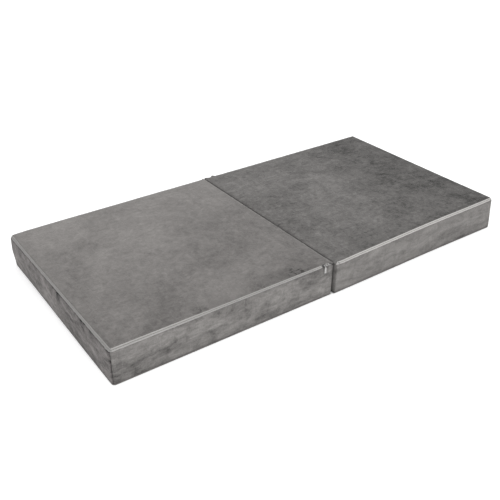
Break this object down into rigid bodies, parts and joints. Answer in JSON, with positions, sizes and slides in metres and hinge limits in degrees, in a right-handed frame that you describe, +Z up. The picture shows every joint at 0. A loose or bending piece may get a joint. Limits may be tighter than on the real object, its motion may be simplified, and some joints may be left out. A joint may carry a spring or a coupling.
{
  "type": "folding foam play sofa",
  "caption": "Flat two-part foam play mattress: two square zip-covered foam pads joined by a cloth hinge, which fold onto each other.",
  "frame": {"origin": "on the floor, under the middle of the crease, at the centre of the part's footprint", "axes": "+X along the length, from the left pad to the right pad; +Y to the back; +Z up"},
  "size_m": [1.422, 0.714, 0.114],
  "materials": {
    "foam": "soft open-cell foam",
    "velour": "short dense velour nap, warm grey",
    "hinge_cloth": "plain woven cloth, dark grey",
    "zip_tape": "woven polyester tape, light grey",
    "zip_coil": "nylon coil, light grey, satin",
    "zip_metal": "die-cast metal, light grey, satin"
  },
  "bodies": {
    "right_half": {"right_foam_core": "foam", "right_top_panel": "velour", "right_bottom_panel": "velour", "right_front_band": "velour", "right_end_band": "velour", "right_back_band": "velour", "right_inner_band": "velour", "right_zip_top_tape": "zip_tape", "right_zip_side_tape": "zip_tape", "right_zip_top_coil": "zip_coil", "right_zip_side_coil": "zip_coil", "right_zip_start_stop": "zip_metal", "right_zip_end_stop": "zip_metal", "hinge_strip": "hinge_cloth"},
    "left_half": {"left_foam_core": "foam", "left_top_panel": "velour", "left_bottom_panel": "velour", "left_front_band": "velour", "left_end_band": "velour", "left_back_band": "velour", "left_inner_band": "velour", "left_zip_top_tape": "zip_tape", "left_zip_side_tape": "zip_tape", "left_zip_top_coil": "zip_coil", "left_zip_side_coil": "zip_coil", "left_zip_start_stop": "zip_metal", "left_zip_end_stop": "zip_metal"},
    "left_slider": {"left_zip_slider": "zip_metal"},
    "left_pull": {"left_zip_pull": "zip_metal"},
    "right_slider": {"right_zip_slider": "zip_metal"},
    "right_pull": {"right_zip_pull": "zip_metal"}
  },
  "joints": [
    {"name": "fold", "type": "hinge", "parent": "right_half", "child": "left_half", "pos_m": [0, 0, 0.1143], "axis": [0, 1, 0], "range_deg": [0, 180], "deforming": ["hinge_strip"]},
    {"name": "left_zip", "type": "slide", "parent": "left_half", "child": "left_slider", "axis": [-1, 0, 0], "range_m": [-0.0085, 0.656]},
    {"name": "left_pull_swing", "type": "hinge", "parent": "left_slider", "child": "left_pull", "pos_m": [-0.034, -0.35117, 0.10947], "axis": [-1, 0, 0], "range_deg": [0, 120]},
    {"name": "right_zip", "type": "slide", "parent": "right_half", "child": "right_slider", "axis": [1, 0, 0], "range_m": [-0.0085, 0.656]},
    {"name": "right_pull_swing", "type": "hinge", "parent": "right_slider", "child": "right_pull", "pos_m": [0.034, 0.35117, 0.10947], "axis": [1, 0, 0], "range_deg": [0, 120]}
  ]
}
